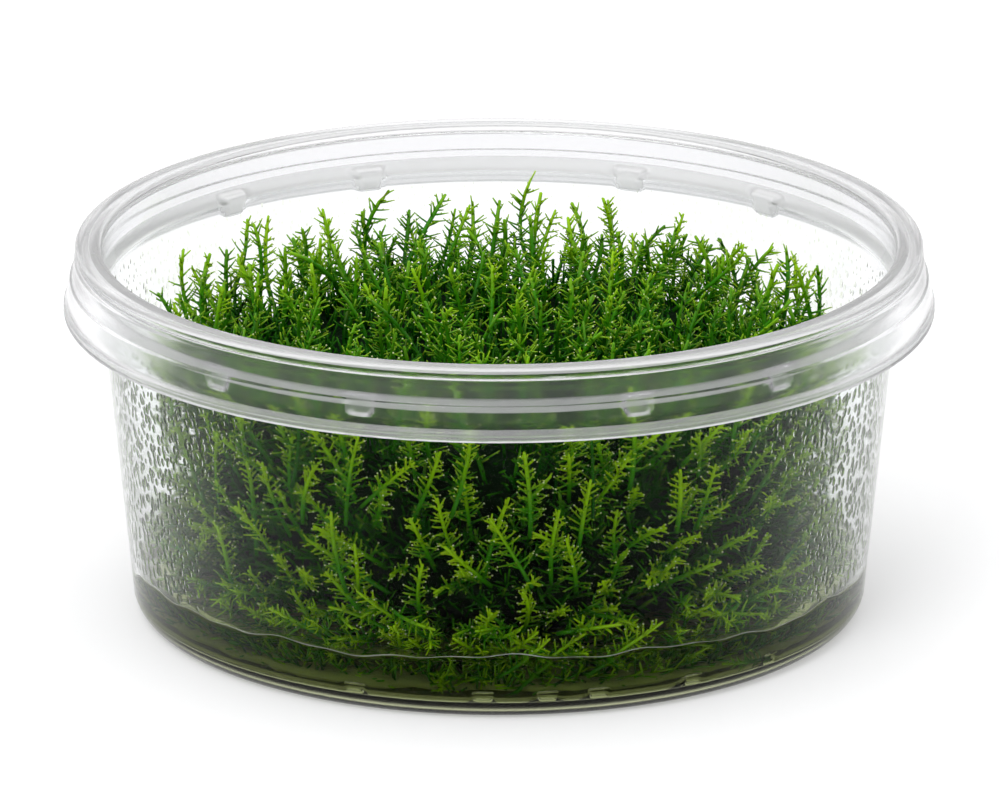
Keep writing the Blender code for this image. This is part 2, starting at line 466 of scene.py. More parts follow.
def gel_level(angles, settings):
    """Height of the gel's wavy edge on the wall."""
    low, high = settings.level_side / MM, settings.level_front / MM
    swell = low + (high - low) * np.abs(np.cos(angles)) ** 0.7
    waves = 0.26 * np.sin(5 * angles + 1.0) + 0.24 * np.sin(11 * angles + 2.1)
    return swell + waves + 0.17 * np.sin(19 * angles + 0.4) + 0.13 * np.sin(37 * angles)


def gel_mesh(settings, shell):
    """The gel: a disc whose top climbs the wall in a small meniscus and whose side meets it."""
    angles = np.linspace(-math.pi, math.pi, 240, endpoint=False)
    level = gel_level(angles, settings)
    middle = (settings.level_side + settings.level_front) / 2 / MM - MENISCUS
    corner_z = FLOOR_TOP + CORNER_R
    corner_r = wall_r(corner_z) - shell - CORNER_R
    rows = []
    for share in (0.0, 0.2, 0.4, 0.6, 0.75, 0.87, 0.93, 0.96, 0.98, 0.993, 1.0):
        climb, follow = share**26, share**4
        height = middle * (1 - follow) + (level - MENISCUS) * follow + MENISCUS * climb
        rows.append(((wall_r(level) - shell + GEL_SUNK) * share, height))
    for share in np.linspace(0, 1, 8)[1:-1]:
        height = level * (1 - share) + corner_z * share
        rows.append((wall_r(height) - shell + GEL_SUNK, height))
    rows.extend(arc(corner_r, corner_z, CORNER_R + GEL_SUNK, 0, -90, 6))
    rows.extend((corner_r * share, FLOOR_TOP - GEL_SUNK) for share in (0.9, 0.5, 0.0))
    radii, heights = ([np.broadcast_to(row[k], angles.shape) for row in rows] for k in (0, 1))
    points = around_axis(angles, np.array(radii), np.array(heights))
    return build_mesh("gel_layer", *lathe(points))


# ---------------------------------------------------------------- moss growth

MAT_R = 41.2
GOLDEN_SHARE = 0.6180339
# 0.5 would spread the crown's shoots evenly, and less crowds them towards its edge.
CROWN_CROWDING = 0.44
# How far under the clump's top the crown's tips stand on average, and how far they differ.
CROWN_DROP = 2.3
CROWN_STAND = 2.7
# Leans of the crown's shoots from upright, in degrees.
LEAN_MIDDLE = 7
LEAN_AT_EDGE = 15
LEAN_SCATTER = 20
LEAN_LIMIT = 32
FLANK_FOOT = 7.5
FLANK_STAND = 1.5
# Rises of the flank's shoots from level, in degrees.
FLANK_RISE = 24
FLANK_RISE_AT_TOP = 44
FLANK_SCATTER = 13


def unit(vectors):
    """The vectors at length 1."""
    return vectors / np.maximum(np.linalg.norm(vectors, axis=-1, keepdims=True), 1e-9)


def side_frame(tangents):
    """Two directions square to each tangent."""
    upright = np.abs(tangents[..., 2:3]) > 0.8
    guide = np.where(upright, np.array([1.0, 0.0, 0.0]), np.array([0.0, 0.0, 1.0]))
    first = unit(np.cross(tangents, guide))
    return first, np.cross(tangents, first)


def tubes(paths, radii, sides):
    """Closed tubes with rounded tips along many paths at once.

    paths is tubes by rings by 3, and radii is tubes by rings. Returns points, faces and each
    point's share of the way along its tube.
    """
    count, rings = radii.shape
    tangents = unit(np.gradient(paths, axis=1))
    first, second = side_frame(tangents)
    turn = np.arange(sides) * FULL_TURN / sides
    spoke = first[:, :, None] * np.cos(turn)[:, None] + second[:, :, None] * np.sin(turn)[:, None]
    shell = paths[:, :, None] + spoke * radii[:, :, None, None]
    tips = paths[:, -1:] + tangents[:, -1:] * radii[:, -1:, None] * 0.75
    points = np.concatenate([shell.reshape(count, -1, 3), tips], axis=1).reshape(-1, 3)
    share = np.concatenate([np.repeat(np.linspace(0, 1, rings), sides), [1.0]])
    return points, stacked_rings(count, rings, sides), np.tile(share, count)


def shore_mesh(settings, shell):
    """The thin skin of dried gel that marks the gel's edge on the wall."""
    angles = np.linspace(-math.pi, math.pi, 361)
    level = gel_level(angles, settings)
    path = around_axis(angles, wall_r(level) - shell - 0.03, level + 0.05)
    swell = 0.055 * (1 + 0.6 * np.sin(23 * angles) * np.sin(7 * angles + 0.6))
    points, faces, _ = tubes(path[None], swell[None], 5)
    return build_mesh("gel_shore", points, faces)


class Growth:
    """Gathers tubes, with the age and tip values that colour them, for one mesh: the first is partly
    painted shade and the second partly a painted glint.
    """

    def __init__(self):
        self.points, self.faces, self.age, self.tip, self.wet_tips = [], [], [], [], []
        self.total = 0

    def add(self, paths, radii, sides, age_root, age_tip, tip_paleness_and_glint):
        """age runs from the first value at each tube's root to the second at its tip; its low values are
        partly old growth and partly painted shade.
        """
        points, faces, share = tubes(paths, radii, sides)
        each = len(points) // len(paths)
        root = np.repeat(np.broadcast_to(age_root, len(paths)), each)
        end = np.repeat(np.broadcast_to(age_tip, len(paths)), each)
        self.points.append(points)
        self.faces.append([block + self.total for block in faces])
        self.age.append(root + (end - root) * share)
        self.tip.append(np.clip(share - 0.72, 0, 1) / 0.28 * tip_paleness_and_glint)
        self.total += len(points)

    def mesh(self, name):
        """One mesh of every tube gathered, with faces of one size after another."""
        widths = sorted({block.shape[1] for faces in self.faces for block in faces})
        polygons = [
            np.concatenate([b for faces in self.faces for b in faces if b.shape[1] == width])
            for width in widths
        ]
        floats = {"age": np.concatenate(self.age), "tip": np.concatenate(self.tip)}
        return build_mesh(name, keep_inside(np.concatenate(self.points)), polygons, floats)


def curve_at(paths, rows, share):
    """Points and tangents part of the way along chosen paths."""
    spot = share * (paths.shape[1] - 1)
    low = np.minimum(spot.astype(int), paths.shape[1] - 2)
    part = (spot - low)[:, None]
    start, end = paths[rows, low], paths[rows, low + 1]
    return start * (1 - part) + end * part, unit(end - start)


def needles(roots, axes, side, angle_out, turn, length, bend, rings):
    """Paths of leaves that leave an axis at angle_out, turned round it from the way of side."""
    first = unit(side - axes * np.sum(side * axes, axis=-1, keepdims=True))
    second = np.cross(axes, first)
    around = first * np.cos(turn)[:, None] + second * np.sin(turn)[:, None]
    way = axes * np.cos(angle_out)[:, None] + around * np.sin(angle_out)[:, None]
    share = np.linspace(0, 1, rings)[None, :, None]
    reach = length[:, None, None]
    return roots[:, None] + way[:, None] * reach * share + axes[:, None] * reach * bend * share**2


def set_along(rng, owners, each, start, length, jitter):
    """Each leaf's owner, its number there and how far along it stands, from start on by length."""
    order = np.tile(np.arange(each), owners)
    share = start + length * (order + rng.uniform(jitter, 1 - jitter, len(order))) / each
    return np.repeat(np.arange(owners), each), order, share


def stand_out(rng, share, low, closing):
    """Angles between leaves and their stem: low degrees at its foot, closing less at its tip."""
    return np.radians(low - closing * share**3 + rng.normal(0, 9, len(share)))


def grow_shoots(growth, rng, axes, tone_and_painted_light, plan):
    """Stems, stem leaves and leafy side branches for many shoots at once.

    axes is shoots by rings by 3, from root to tip. The branches stand mostly in two ranks that
    spread round the clump. tone_and_painted_light is each shoot's brightness: its own tone with
    painted light and shade. plan is FULL_SHOOT or SHADED_SHOOT with its leaf length added.
    """
    count, rings = axes.shape[:2]
    along = np.linspace(0, 1, rings)
    leaf_ends = np.array([1.1, 0.75])
    girth = rng.uniform(0.85, 1.15, (count, 1))
    stem = girth * (plan["stem"] * (1 - 0.25 * along))[None, :]
    stem[:, -1] *= 0.75
    # Stems darken towards the root, partly by painted shade, and their pale tips are partly a painted
    # glint.
    growth.add(axes, stem, plan["stem_sides"], 0.5 * tone_and_painted_light, 1.1 * tone_and_painted_light, 0.4)
    outward = axes[:, -1] * np.array([1.0, 1.0, 0.0]) + rng.normal(0, 4, (count, 3))
    side = unit(np.cross(axes[:, -1] - axes[:, -2], outward))

    leaves = plan["leaves"]
    shoot, order, share = set_along(rng, count, leaves, 0.1, 0.88, 0.15)
    turn = order * GOLDEN_ANGLE + np.repeat(rng.uniform(0, FULL_TURN, count), leaves)
    roots, ways = curve_at(axes, shoot, share)
    out = stand_out(rng, share, 66, 26)
    length = plan["leaf"] * rng.uniform(0.32, 0.62, len(order))
    paths = needles(roots, ways, side[shoot], out, turn, length, 0.15, 2)
    thick = rng.uniform(0.1, 0.13, len(order))[:, None] * plan["leaf_girth"] * leaf_ends
    # Leaves darken towards the shoot's foot, partly by painted shade.
    age = tone_and_painted_light[shoot] * (0.25 + 0.75 * share)
    growth.add(paths, thick, 3, age, age * 1.05 + 0.06, plan["tip_paleness_and_glint"])

    shoot, order, share = set_along(rng, count, plan["branches"], 0.2, 0.74, 0.2)
    turn = order * math.pi + rng.normal(0, plan["spread"], len(order))
    roots, ways = curve_at(axes, shoot, share)
    out = stand_out(rng, share, 72, 24)
    length = plan["leaf"] * (0.42 + 1.0 * (1 - share) ** 0.8) * rng.uniform(0.7, 1.15, len(order))
    rings = plan["branch_rings"]
    paths = needles(roots, ways, side[shoot], out, turn, length, 0.1, rings)
    taper = np.interp(np.linspace(0, 1, rings), [0, 0.5, 1], [1.0, 0.85, 0.42])
    thick = rng.uniform(0.12, 0.15, len(order))[:, None] * plan["leaf_girth"] * taper
    # Branches darken towards the shoot's foot too, partly by painted shade.
    age = tone_and_painted_light[shoot] * (0.45 + 0.58 * share)
    growth.add(paths, thick, 3, age, age + 0.12, plan["tip_paleness_and_glint"])
    growth.wet_tips.append(paths[rng.random(len(paths)) < plan["wet"], -1])

    if not plan["leaflets"]:
        return
    branch, order, spot = set_along(rng, len(paths), plan["leaflets"], 0.3, 0.6, 0.1)
    roots, ways = curve_at(paths, branch, spot)
    turn = order * math.pi + rng.normal(0, 0.9, len(order))
    out = np.radians(rng.uniform(45, 75, len(order)))
    size = rng.uniform(0.24, 0.42, len(order)) * (1.2 - 0.5 * spot)
    tiny = needles(roots, ways, side[shoot][branch], out, turn, size, 0.1, 2)
    thin = rng.uniform(0.085, 0.11, len(order))[:, None] * leaf_ends
    # Leaflets are a little brighter, with fully pale tips that are partly a painted glint.
    growth.add(tiny, thin, 3, age[branch] + 0.08, age[branch] + 0.2, 1.0)


# Radii and lengths in millimetres. spread is the branches' scatter round the stem in radians,
# tip_paleness_and_glint is how pale the leaf tips are, partly their own paleness and partly a
# painted glint, and wet is the share of branches with a bead of water.
FULL_SHOOT = {
    "stem": 0.28, "stem_sides": 5, "leaf_girth": 1.15, "tip_paleness_and_glint": 0.9,
    "leaves": 9, "branches": 18, "branch_rings": 3, "leaflets": 2, "spread": 0.5, "wet": 0.6,
}
SHADED_SHOOT = {
    "stem": 0.26, "stem_sides": 4, "leaf_girth": 1.1, "tip_paleness_and_glint": 0.08,
    "leaves": 6, "branches": 13, "branch_rings": 3, "leaflets": 0, "spread": 1.0, "wet": 0.0,
}


def arched(roots, tips, rise, rings):
    """Paths from roots to tips that bow by rise, given as a vector for each."""
    share = np.linspace(0, 1, rings)[None, :, None]
    bow = 4 * share * (1 - share)
    return roots[:, None] * (1 - share) + tips[:, None] * share + rise[:, None] * bow


def shoots_from(rng, tips, ways, shortest, longest, bow, rings):
    """Slightly bowed shoots that end at tips and grow along ways."""
    length = rng.uniform(shortest, longest, len(tips))[:, None]
    return arched(tips - ways * length, tips, rng.normal(0, bow, tips.shape), rings)


def crown_axes(rng, count, sink, shortest, longest, rings):
    """Shoots over the clump's top, upright in the middle and leaning out at the edge.

    They are sunk by sink under the outer ones. Returns their paths, and for each how far it
    stands out of the others, -1 to 1.
    """
    order = np.arange(count)
    reach = MOSS_HIGH.x - 0.2 - 0.4 * sink
    radius = reach * ((order + 0.5) / count) ** CROWN_CROWDING + rng.normal(0, 0.8, count)
    radius = np.clip(radius, 0, reach)
    angle = order * GOLDEN_ANGLE + rng.normal(0, 0.06, count)
    edge = radius / reach
    stand = rng.uniform(-1, 1, count)
    height = MOSS_HIGH.z - CROWN_DROP - sink + CROWN_STAND * stand
    scatter = np.clip(rng.normal(0, LEAN_SCATTER, count), -LEAN_LIMIT, LEAN_LIMIT)
    lean = np.radians(LEAN_MIDDLE + LEAN_AT_EDGE * edge**2 + scatter)
    ways = around_axis(angle + rng.normal(0, 0.8, count), np.sin(lean), np.cos(lean))
    tips = around_axis(angle, radius, height)
    return shoots_from(rng, tips, ways, shortest, longest, 0.75, rings), stand


def flank_axes(rng, count, sink, shortest, longest, rings):
    """Shoots round the clump's side: steep at the top, spreading outwards lower down.

    It takes and returns what crown_axes does.
    """
    order = np.arange(count)
    span = MOSS_HIGH.z - 2.6 - sink - FLANK_FOOT
    height = FLANK_FOOT + span * ((order * GOLDEN_SHARE) % 1.0) + rng.normal(0, 0.7, count)
    angle = order * FULL_TURN / count + rng.normal(0, 0.02, count)
    level = np.clip((height - FLANK_FOOT) / span, 0, 1)
    stand = rng.uniform(-1, 1, count)
    radius = MOSS_HIGH.x - 1.1 - sink + 0.9 * level + FLANK_STAND * stand
    scatter = rng.normal(0, FLANK_SCATTER, count)
    rise = np.radians(FLANK_RISE + FLANK_RISE_AT_TOP * level**0.8 + scatter)
    ways = around_axis(angle + rng.normal(0, 0.6, count), np.cos(rise), np.sin(rise))
    tips = around_axis(angle, radius, height)
    return shoots_from(rng, tips, ways, shortest, longest, 0.35, rings), stand


def clear_of_sides(rng, angle, radius):
    """Radii drawn in where they near the left and right of the gel, which is clear there."""
    limit = rng.uniform(25.0, 42.0, len(angle)) / np.maximum(np.abs(np.sin(angle)), 0.1)
    return np.minimum(radius, limit)


def sunken_axes(rng, count):
    """Short shoots at the foot of the clump: two in five lie on the gel, the others in it."""
    angle = np.arange(count) * FULL_TURN / count + rng.normal(0, 0.05, count)
    afloat = np.arange(count) % 5 < 2
    radius = np.where(afloat, rng.uniform(39.5, 43.0, count), rng.uniform(29.0, 41.5, count))
    radius = np.where(afloat, radius, clear_of_sides(rng, angle, radius))
    height = np.where(afloat, rng.uniform(7.2, 11.0, count), rng.uniform(3.0, 7.2, count))
    rise = np.radians(rng.uniform(-10, 40, count))
    ways = around_axis(angle + rng.normal(0, 0.6, count), np.cos(rise), np.sin(rise))
    axes = shoots_from(rng, around_axis(angle, radius, height), ways, 6.0, 8.0, 0.3, 6)
    axes[..., 2] = np.maximum(axes[..., 2], FLOOR_TOP + 0.7)
    return axes, rng.uniform(-1, 1, count)


def inner_leaves(growth, rng, count):
    """Single dull leaves all over the old growth, so that no gap in the clump looks bare."""
    kind = rng.choice(3, count, p=(0.42, 0.26, 0.32))
    angle = rng.uniform(0, FULL_TURN, count)
    spread = np.sqrt(rng.random(count))
    radius = np.choose(kind, [MOSS_HIGH.x - 7.3, (MOSS_HIGH.x - 7) * spread, 26 + 13.2 * spread])
    radius = np.where(kind == 2, clear_of_sides(rng, angle, radius), radius)
    height = np.choose(kind, [
        rng.uniform(9, MOSS_HIGH.z - 12, count), MOSS_HIGH.z - 11.5, rng.uniform(2.6, 4.4, count)])
    rise = np.radians(np.choose(kind, [
        rng.uniform(-20, 60, count), rng.uniform(50, 130, count), rng.uniform(0, 60, count)]))
    ways = around_axis(angle + rng.normal(0, 0.7, count), np.cos(rise), np.sin(rise))
    roots = around_axis(angle, radius, height)
    paths = np.stack([roots, roots + ways * rng.uniform(2.2, 4.0, count)[:, None]], axis=1)
    thick = rng.uniform(0.15, 0.2, count)[:, None] * np.array([1.0, 0.7])
    # Low age values make these leaves dark: painted shade of the clump's inside.
    age = np.choose(kind, [rng.uniform(0.15, 0.45, count), 0.26, rng.uniform(0.4, 0.9, count)])
    growth.add(paths, thick, 3, age, age + 0.12, 0.03)


def bead_mesh(rng, tips):
    """A tiny bead of water on each of the wet leaf tips."""
    corners = np.array([
        (1, 0, 0), (0, 1, 0), (-1, 0, 0), (0, -1, 0), (0, 0, 1), (0, 0, -1)], float)
    size = rng.uniform(0.08, 0.14, len(tips))[:, None, None]
    points = keep_inside((tips[:, None] + corners * size).reshape(-1, 3))
    around = np.arange(4)
    after = (around + 1) % 4
    top = np.stack([around, after, np.full(4, 4)], axis=-1)
    foot = np.stack([after, around, np.full(4, 5)], axis=-1)
    offset = (np.arange(len(tips)) * 6)[:, None]
    faces = (offset + np.concatenate([top, foot]).reshape(-1)).reshape(-1, 3)
    return build_mesh("leaf_dew", points, [faces])


def keep_inside(points):
    """Points held inside the cup: above its floor and off its wall."""
    points[:, 2] = np.maximum(points[:, 2], FLOOR_TOP + 0.15)
    radius = np.hypot(points[:, 0], points[:, 1])
    limit = wall_r(points[:, 2]) - 1.2
    points[:, :2] *= np.minimum(1, limit / np.maximum(radius, 0.01))[:, None]
    return points


def core_mesh(rng):
    """The matted old growth that fills the clump: a lumpy drum, rough all over."""
    angles = np.linspace(-math.pi, math.pi, 150, endpoint=False)[None, :]
    radius, low, high = MOSS_HIGH.x - 6.6, FLOOR_TOP + 0.6, MOSS_HIGH.z - 11.0
    foot, mat = radius - 7.0, radius + 5.6
    profile = np.concatenate([
        straight((0.0, high), (radius - 3.0, high), 14),
        arc(radius - 3.0, high - 3.0, 3.0, 90, 0, 4)[:-1],
        straight((radius, high - 3.0), (radius - 0.8, 10.0), 13),
        straight((radius - 0.8, 10.0), (foot + 2.0, 7.5), 3),
        straight((foot + 2.0, 7.5), (foot, 4.4), 3),
        straight((foot, 4.4), (mat, 3.2), 6),
        straight((mat, 3.2), (mat, low), 1),
        straight((mat, low), (0.0, low), 5),
        [(0.0, low)],
    ])
    lumps = 0
    for waves in (5, 9, 16, 27, 40):
        turn, rise = rng.uniform(0, 6.28, 2)
        swell = np.sin(waves * angles + turn) * np.sin(waves * profile[:, 1:] / 14 + rise)
        lumps = lumps + swell * 3.4 / waves**0.6
    lumps = lumps + rng.normal(0, 0.35, lumps.shape)
    radii = np.clip(profile[:, :1] * (1 + lumps / 40), 0, MAT_R)
    lift = np.where(profile[:, 1:] > low + 1, 0.6 * lumps, 0)
    points = around_axis(angles, radii, profile[:, 1:] + lift)
    return build_mesh("moss_old_growth", *lathe(points))


# ---------------------------------------------------------------- condensation

DEW_FOOT = 8.2


def dew_points(rng, settings, shell):
    """Where drops sit on the inside wall: angle, height and size, thick at the sides."""
    step = settings.spacing / MM
    angles, heights = [], []
    for number, z in enumerate(np.arange(DEW_FOOT, SHOULDER_FOOT - 0.6, step * 0.9)):
        count = int(FULL_TURN * (wall_r(z) - shell) / step)
        angles.append((np.arange(count) + 0.5 * (number % 2)) * FULL_TURN / count)
        heights.append(np.full(count, z))
    angles, heights = np.concatenate(angles), np.concatenate(heights)
    angles = angles + rng.normal(0, 0.24 * step / WALL_FOOT_R, len(angles))
    heights = heights + rng.normal(0, 0.24 * step, len(heights))
    ahead = smoothstep(-0.5, 0.05, np.cos(angles))
    size = dew_cover(angles, heights) * rng.uniform(0.7, 1.15, len(angles))
    size *= ahead + (1 - ahead) * np.where(heights < 27, 0.35, 0.85)
    size *= 1 - 0.45 * smoothstep(32.0, 35.5, heights + rng.normal(0, 0.6, len(heights)))
    keep = size > rng.uniform(0.1, 0.55, len(size))
    fine = (~keep) & (rng.random(len(size)) < 0.22 + 0.6 * smoothstep(28.0, 35.0, heights))
    size = np.where(fine, rng.uniform(0.16, 0.3, len(size)), size)
    keep |= fine
    return angles[keep], heights[keep], size[keep]


def dew_mesh(settings, shell):
    """Every drop as a closed dome, a little taller than wide and fuller at its foot."""
    rng = np.random.default_rng(DEW_SEED)
    angle, height, size = dew_points(rng, settings, shell)
    fullness = 0.18 + 0.2 * smoothstep(-0.4, 0.1, np.cos(angle))
    count, sides = len(angle), 8
    half_width = settings.width / MM / 2 * size
    half_height = half_width * rng.uniform(1.15, 1.8, count)
    proud = half_width * fullness * rng.uniform(0.8, 1.2, count)
    radius = wall_r(height) - shell
    inward = unit(around_axis(angle, -np.ones(count), np.full(count, WALL_DRAFT)))
    sideways = around_axis(angle + math.pi / 2, np.ones(count), np.zeros(count))
    upward = np.cross(sideways, inward)
    centre = around_axis(angle, radius, height)
    tilt = rng.normal(0, 0.15, count)
    turn = np.arange(sides) * FULL_TURN / sides
    rings = []
    for width, rise in ((1.0, -0.05), (0.64, 0.62)):
        along = np.sin(turn)[None, :] * half_height[:, None] * width
        along = along - 0.12 * half_height[:, None] * (1 - width) * 2
        aside = np.cos(turn)[None, :] * half_width[:, None] * width
        aside = aside + along * np.sin(tilt)[:, None]
        ring = centre[:, None] + sideways[:, None] * aside[..., None]
        ring = ring + upward[:, None] * along[..., None]
        rings.append(ring + inward[:, None] * (proud * rise)[:, None, None])
    apex = centre + inward * proud[:, None] - upward * (half_height * 0.22)[:, None]
    points = np.concatenate([*rings, apex[:, None]], axis=1).reshape(-1, 3)
    faces = [block[:, ::-1] for block in stacked_rings(count, 2, sides)]
    mesh = build_mesh("condensation", points, faces)
    mesh.set_sharp_from_angle(angle=math.radians(60))
    return mesh


# ---------------------------------------------------------------- materials

FOG_ROUGHNESS = 0.03


def add_node(tree, kind, settings=(), links=()):
    """Adds a node, with its properties and sockets set and its input sockets linked.

    In settings, a name in small letters is a property, and a number or a name with a capital is
    a socket. links gives an output socket for the number or name of each input socket.
    """
    made = tree.nodes.new(kind)
    for key, value in dict(settings).items():
        if isinstance(key, int) or key[0].isupper():
            made.inputs[key].default_value = value
        else:
            setattr(made, key, value)
    for key, source in dict(links).items():
        tree.links.new(source, made.inputs[key])
    return made


def new_material(name):
    """A new material, with its tree, its shader and each point's place in the object."""
    material = bpy.data.materials.new(name)
    material.use_nodes = True
    tree = material.node_tree
    place = add_node(tree, "ShaderNodeTexCoord").outputs["Object"]
    return material, tree, tree.nodes["Principled BSDF"], place


def set_shader(shader, values):
    """Sets the shader's own sockets to plain numbers and colours, or links them."""
    for key, value in values.items():
        if isinstance(value, bpy.types.NodeSocket):
            shader.id_data.links.new(value, shader.inputs[key])
        else:
            shader.inputs[key].default_value = (*value, 1.0) if isinstance(value, tuple) else value


def relief(tree, shader, place, grain, detail, strength, depth):
    """Bumps as wide as grain and as high as depth, both in metres. Returns their noise."""
    noise = add_node(
        tree, "ShaderNodeTexNoise", {"Scale": 1 / grain, "Detail": detail}, {"Vector": place})
    bump = add_node(
        tree, "ShaderNodeBump", {"Strength": strength, "Distance": depth},
        {"Height": noise.outputs[0]})
    set_shader(shader, {"Normal": bump.outputs["Normal"]})
    return noise.outputs[0]


def moulded_plastic(name, tint, roughness, haze, shine):
    """Polypropylene, injection moulded: clear, with faint flow waves, dulled where it is fogged.

    haze is the share of light that its milkiness scatters, and shine is how bright its gloss is.
    """
    material, tree, shader, place = new_material(name)
    set_shader(shader, {
        "Base Color": tint, "Roughness": roughness, "IOR": 1.49,
        "Transmission Weight": 1.0 - haze, "Specular Tint": (shine, shine, shine)})
    fog = add_node(tree, "ShaderNodeAttribute", {"attribute_name": "fog"})
    clouded = add_node(
        tree, "ShaderNodeMath", {"operation": "MULTIPLY_ADD", 1: FOG_ROUGHNESS, 2: roughness},
        {0: fog.outputs["Fac"]})
    set_shader(shader, {"Roughness": clouded.outputs[0]})
    relief(tree, shader, place, 7 * MM, 1.0, 0.25, 0.02 * MM)
    return material


def set_gel(tint):
    """Gellan gel, poured and set: clear with a grey-green cast and a wet, smooth skin."""
    material, tree, shader, place = new_material("set_gellan_gel")
    set_shader(shader, {
        "Base Color": tint, "Roughness": 0.02, "IOR": 1.335, "Transmission Weight": 1.0,
        "Specular Tint": (0.08, 0.08, 0.08)})
    relief(tree, shader, place, 3 * MM, 2.0, 0.3, 0.03 * MM)
    return material


def gel_skin_and_highlight():
    """Gel dried to a skin where it met the wall: a patchy line, pale partly from the skin and partly as
    a painted highlight along the gel's edge.
    """
    material, tree, shader, place = new_material("dried_gel_skin_and_highlight")
    patches = add_node(
        tree, "ShaderNodeTexNoise", {"Scale": 1 / (2 * MM), "Detail": 2.0}, {"Vector": place})
    # The near-white tone is partly painted highlight.
    shade = add_node(tree, "ShaderNodeMix", {
        "data_type": "RGBA", 6: (*linear("8E9878"), 1.0), 7: (*linear("F2F4E8"), 1.0),
    }, {0: patches.outputs[0]})
    set_shader(shader, {
        "Base Color": shade.outputs[2], "Roughness": 0.25, "IOR": 1.335,
        "Transmission Weight": 0.3})
    return material


def condensed_water():
    """Water, condensed on the cold wall: clear drops, a little out of round, that bend light."""
    material, tree, shader, place = new_material("condensed_water")
    set_shader(shader, {
        "Base Color": linear("F5F7EF"), "Roughness": 0.0, "IOR": 1.333, "Transmission Weight": 1.0,
        "Specular Tint": (0.12, 0.12, 0.12)})
    relief(tree, shader, place, 0.5 * MM, 1.0, 0.5, 0.03 * MM)
    return material


def water_bead_painted_glint():
    """Water, beaded on a leaf tip: a pale, mostly opaque point whose colour is a painted glint."""
    material, tree, shader, place = new_material("water_bead_painted_glint")
    # Painted glint: a pale yellow-green colour with little transmission.
    set_shader(shader, {
        "Base Color": linear("EAF8B4"), "Roughness": 0.05, "IOR": 1.333,
        "Transmission Weight": 0.15})
    relief(tree, shader, place, 0.5 * MM, 1.0, 0.5, 0.01 * MM)
    return material


def moss_leaf(young, old):
    """Moss, grown: wet one-cell-thick leaves, pale at the tip partly by a painted glint, bright when
    young, darker below partly by painted shade.
    """
    material, tree, shader, place = new_material("living_moss")
    age = add_node(tree, "ShaderNodeAttribute", {"attribute_name": "age"})
    tip = add_node(tree, "ShaderNodeAttribute", {"attribute_name": "tip"})
    patches = add_node(
        tree, "ShaderNodeTexNoise", {"Scale": 1 / (6 * MM), "Detail": 2.0}, {"Vector": place})
    varied = add_node(
        tree, "ShaderNodeMath", {"operation": "MULTIPLY_ADD", 1: 0.3},
        {0: patches.outputs[0], 2: age.outputs["Fac"]})
    shifted = add_node(
        tree, "ShaderNodeMath", {"operation": "SUBTRACT", 1: 0.15}, {0: varied.outputs[0]})
    # The ramp runs from the dark old colour to the bright young one by age, so it paints shade as well
    # as age.
    ramp = add_node(tree, "ShaderNodeValToRGB", links={"Fac": shifted.outputs[0]})
    stops = ramp.color_ramp.elements
    stops[0].color, stops[1].color = (*old, 1.0), (*young, 1.0)
    for position, code in ((0.35, "0C4604"), (0.7, "38820A")):
        stops.new(position).color = (*linear(code), 1.0)
    # Pale tip colour: partly the leaves' own pale tips, partly a painted glint.
    softer = add_node(
        tree, "ShaderNodeMath", {"operation": "MULTIPLY", 1: 0.32}, {0: tip.outputs["Fac"]})
    pale = add_node(
        tree, "ShaderNodeMix", {"data_type": "RGBA", 7: (*linear("B2D23A"), 1.0)},
        {0: softer.outputs[0], 6: ramp.outputs["Color"]})
    # Real leaf cells are about 0.05 mm across, and are drawn coarser so that they show.
    relief(tree, shader, place, 0.25 * MM, 2.0, 0.35, 0.05 * MM)
    set_shader(shader, {
        "Base Color": pale.outputs[2], "Roughness": 0.26, "IOR": 1.42, "Specular IOR Level": 0.13,
        "Subsurface Weight": 0.45, "Subsurface Scale": 0.6 * MM})
    shader.inputs["Subsurface Radius"].default_value = (0.85, 1.0, 0.1)
    return material


def shaded_old_growth():
    """Moss, dead and matted: matt and crumbly. Its green-black is partly its own colour and partly
    painted shade of the clump's depths, and its paler foot is painted light, as if lit through the gel.
    """
    material, tree, shader, place = new_material("matted_old_moss_painted_shade")
    crumbs = relief(tree, shader, place, 1.2 * MM, 4.0, 1.0, 0.6 * MM)
    # Near-black tones: partly old moss, partly painted shade.
    shade = add_node(tree, "ShaderNodeMix", {
        "data_type": "RGBA", 6: (*linear("010C02"), 1.0), 7: (*linear("042004"), 1.0),
    }, {0: crumbs})
    # A paler band at the foot, below 5.6 mm: painted light, as if lit through the gel.
    level = add_node(tree, "ShaderNodeSeparateXYZ", links={"Vector": place})
    foot_mask = add_node(
        tree, "ShaderNodeMapRange", {"From Min": 5.6 * MM, "From Max": 3.6 * MM},
        {"Value": level.outputs["Z"]})
    painted_light_foot = add_node(
        tree, "ShaderNodeMix", {"data_type": "RGBA", 7: (*linear("8E985C"), 1.0)},
        {0: foot_mask.outputs[0], 6: shade.outputs[2]})
    set_shader(shader, {
        "Base Color": painted_light_foot.outputs[2], "Roughness": 0.9, "Specular IOR Level": 0.1})
    return material


def stage_floor(colour, glow):
    """Opal acrylic light table, matt: an even white with the faintest mottle, lit from below."""
    material, tree, shader, place = new_material("matt_opal_acrylic")
    mottle = add_node(
        tree, "ShaderNodeTexNoise", {"Scale": 1 / (40 * MM), "Detail": 2.0}, {"Vector": place})
    darker = tuple(c * 0.985 for c in colour)
    shade = add_node(
        tree, "ShaderNodeMix", {"data_type": "RGBA", 6: (*colour, 1.0), 7: (*darker, 1.0)},
        {0: mottle.outputs[0]})
    set_shader(shader, {
        "Base Color": shade.outputs[2], "Roughness": 0.8,
        "Emission Color": (1.0, 1.0, 1.0), "Emission Strength": glow})
    return material


# ---------------------------------------------------------------- stage

